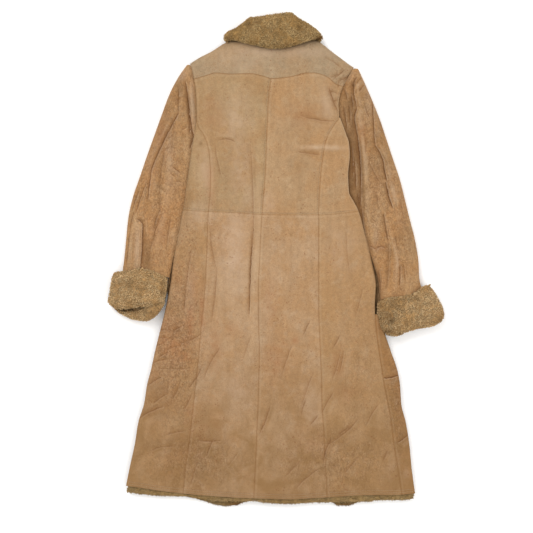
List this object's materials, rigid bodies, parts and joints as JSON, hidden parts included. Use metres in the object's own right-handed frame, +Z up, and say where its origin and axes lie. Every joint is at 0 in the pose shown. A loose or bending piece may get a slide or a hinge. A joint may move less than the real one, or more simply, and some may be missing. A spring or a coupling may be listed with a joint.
{
  "type": "shearling coat",
  "caption": "Long flared shearling coat seen from behind, laid flat on its front: suede skin outside, wool collar, turned-back wool cuffs and a wool edge below the hem",
  "frame": {"origin": "on the floor under the middle of the coat's bounding box", "axes": "+X to the wearer's right across the back, +Y up the coat from hem to collar, +Z up from the floor out of the back"},
  "size_m": [0.808, 1.1858, 0.0583],
  "materials": {
    "suede": "brushed suede skin, matte",
    "wool": "curly shearling wool, matte"
  },
  "bodies": {
    "root": {"back_yoke": "suede", "back_upper_left": "suede", "back_upper_right": "suede", "side_back_upper_left": "suede", "side_back_upper_right": "suede", "skirt_back_left": "suede", "skirt_back_right": "suede", "skirt_side_left": "suede", "skirt_side_right": "suede", "skirt_front_turned": "suede", "hem_wool": "wool", "front_upper_left": "suede", "front_upper_right": "suede", "front_skirt_left": "suede", "front_skirt_right": "suede", "top_sleeve_left": "suede", "under_sleeve_left": "suede", "cuff_upper_left": "wool", "cuff_lower_left": "wool", "top_sleeve_right": "suede", "under_sleeve_right": "suede", "cuff_upper_right": "wool", "cuff_lower_right": "wool", "collar_fall": "wool", "collar_stand": "wool"}
  },
  "joints": []
}
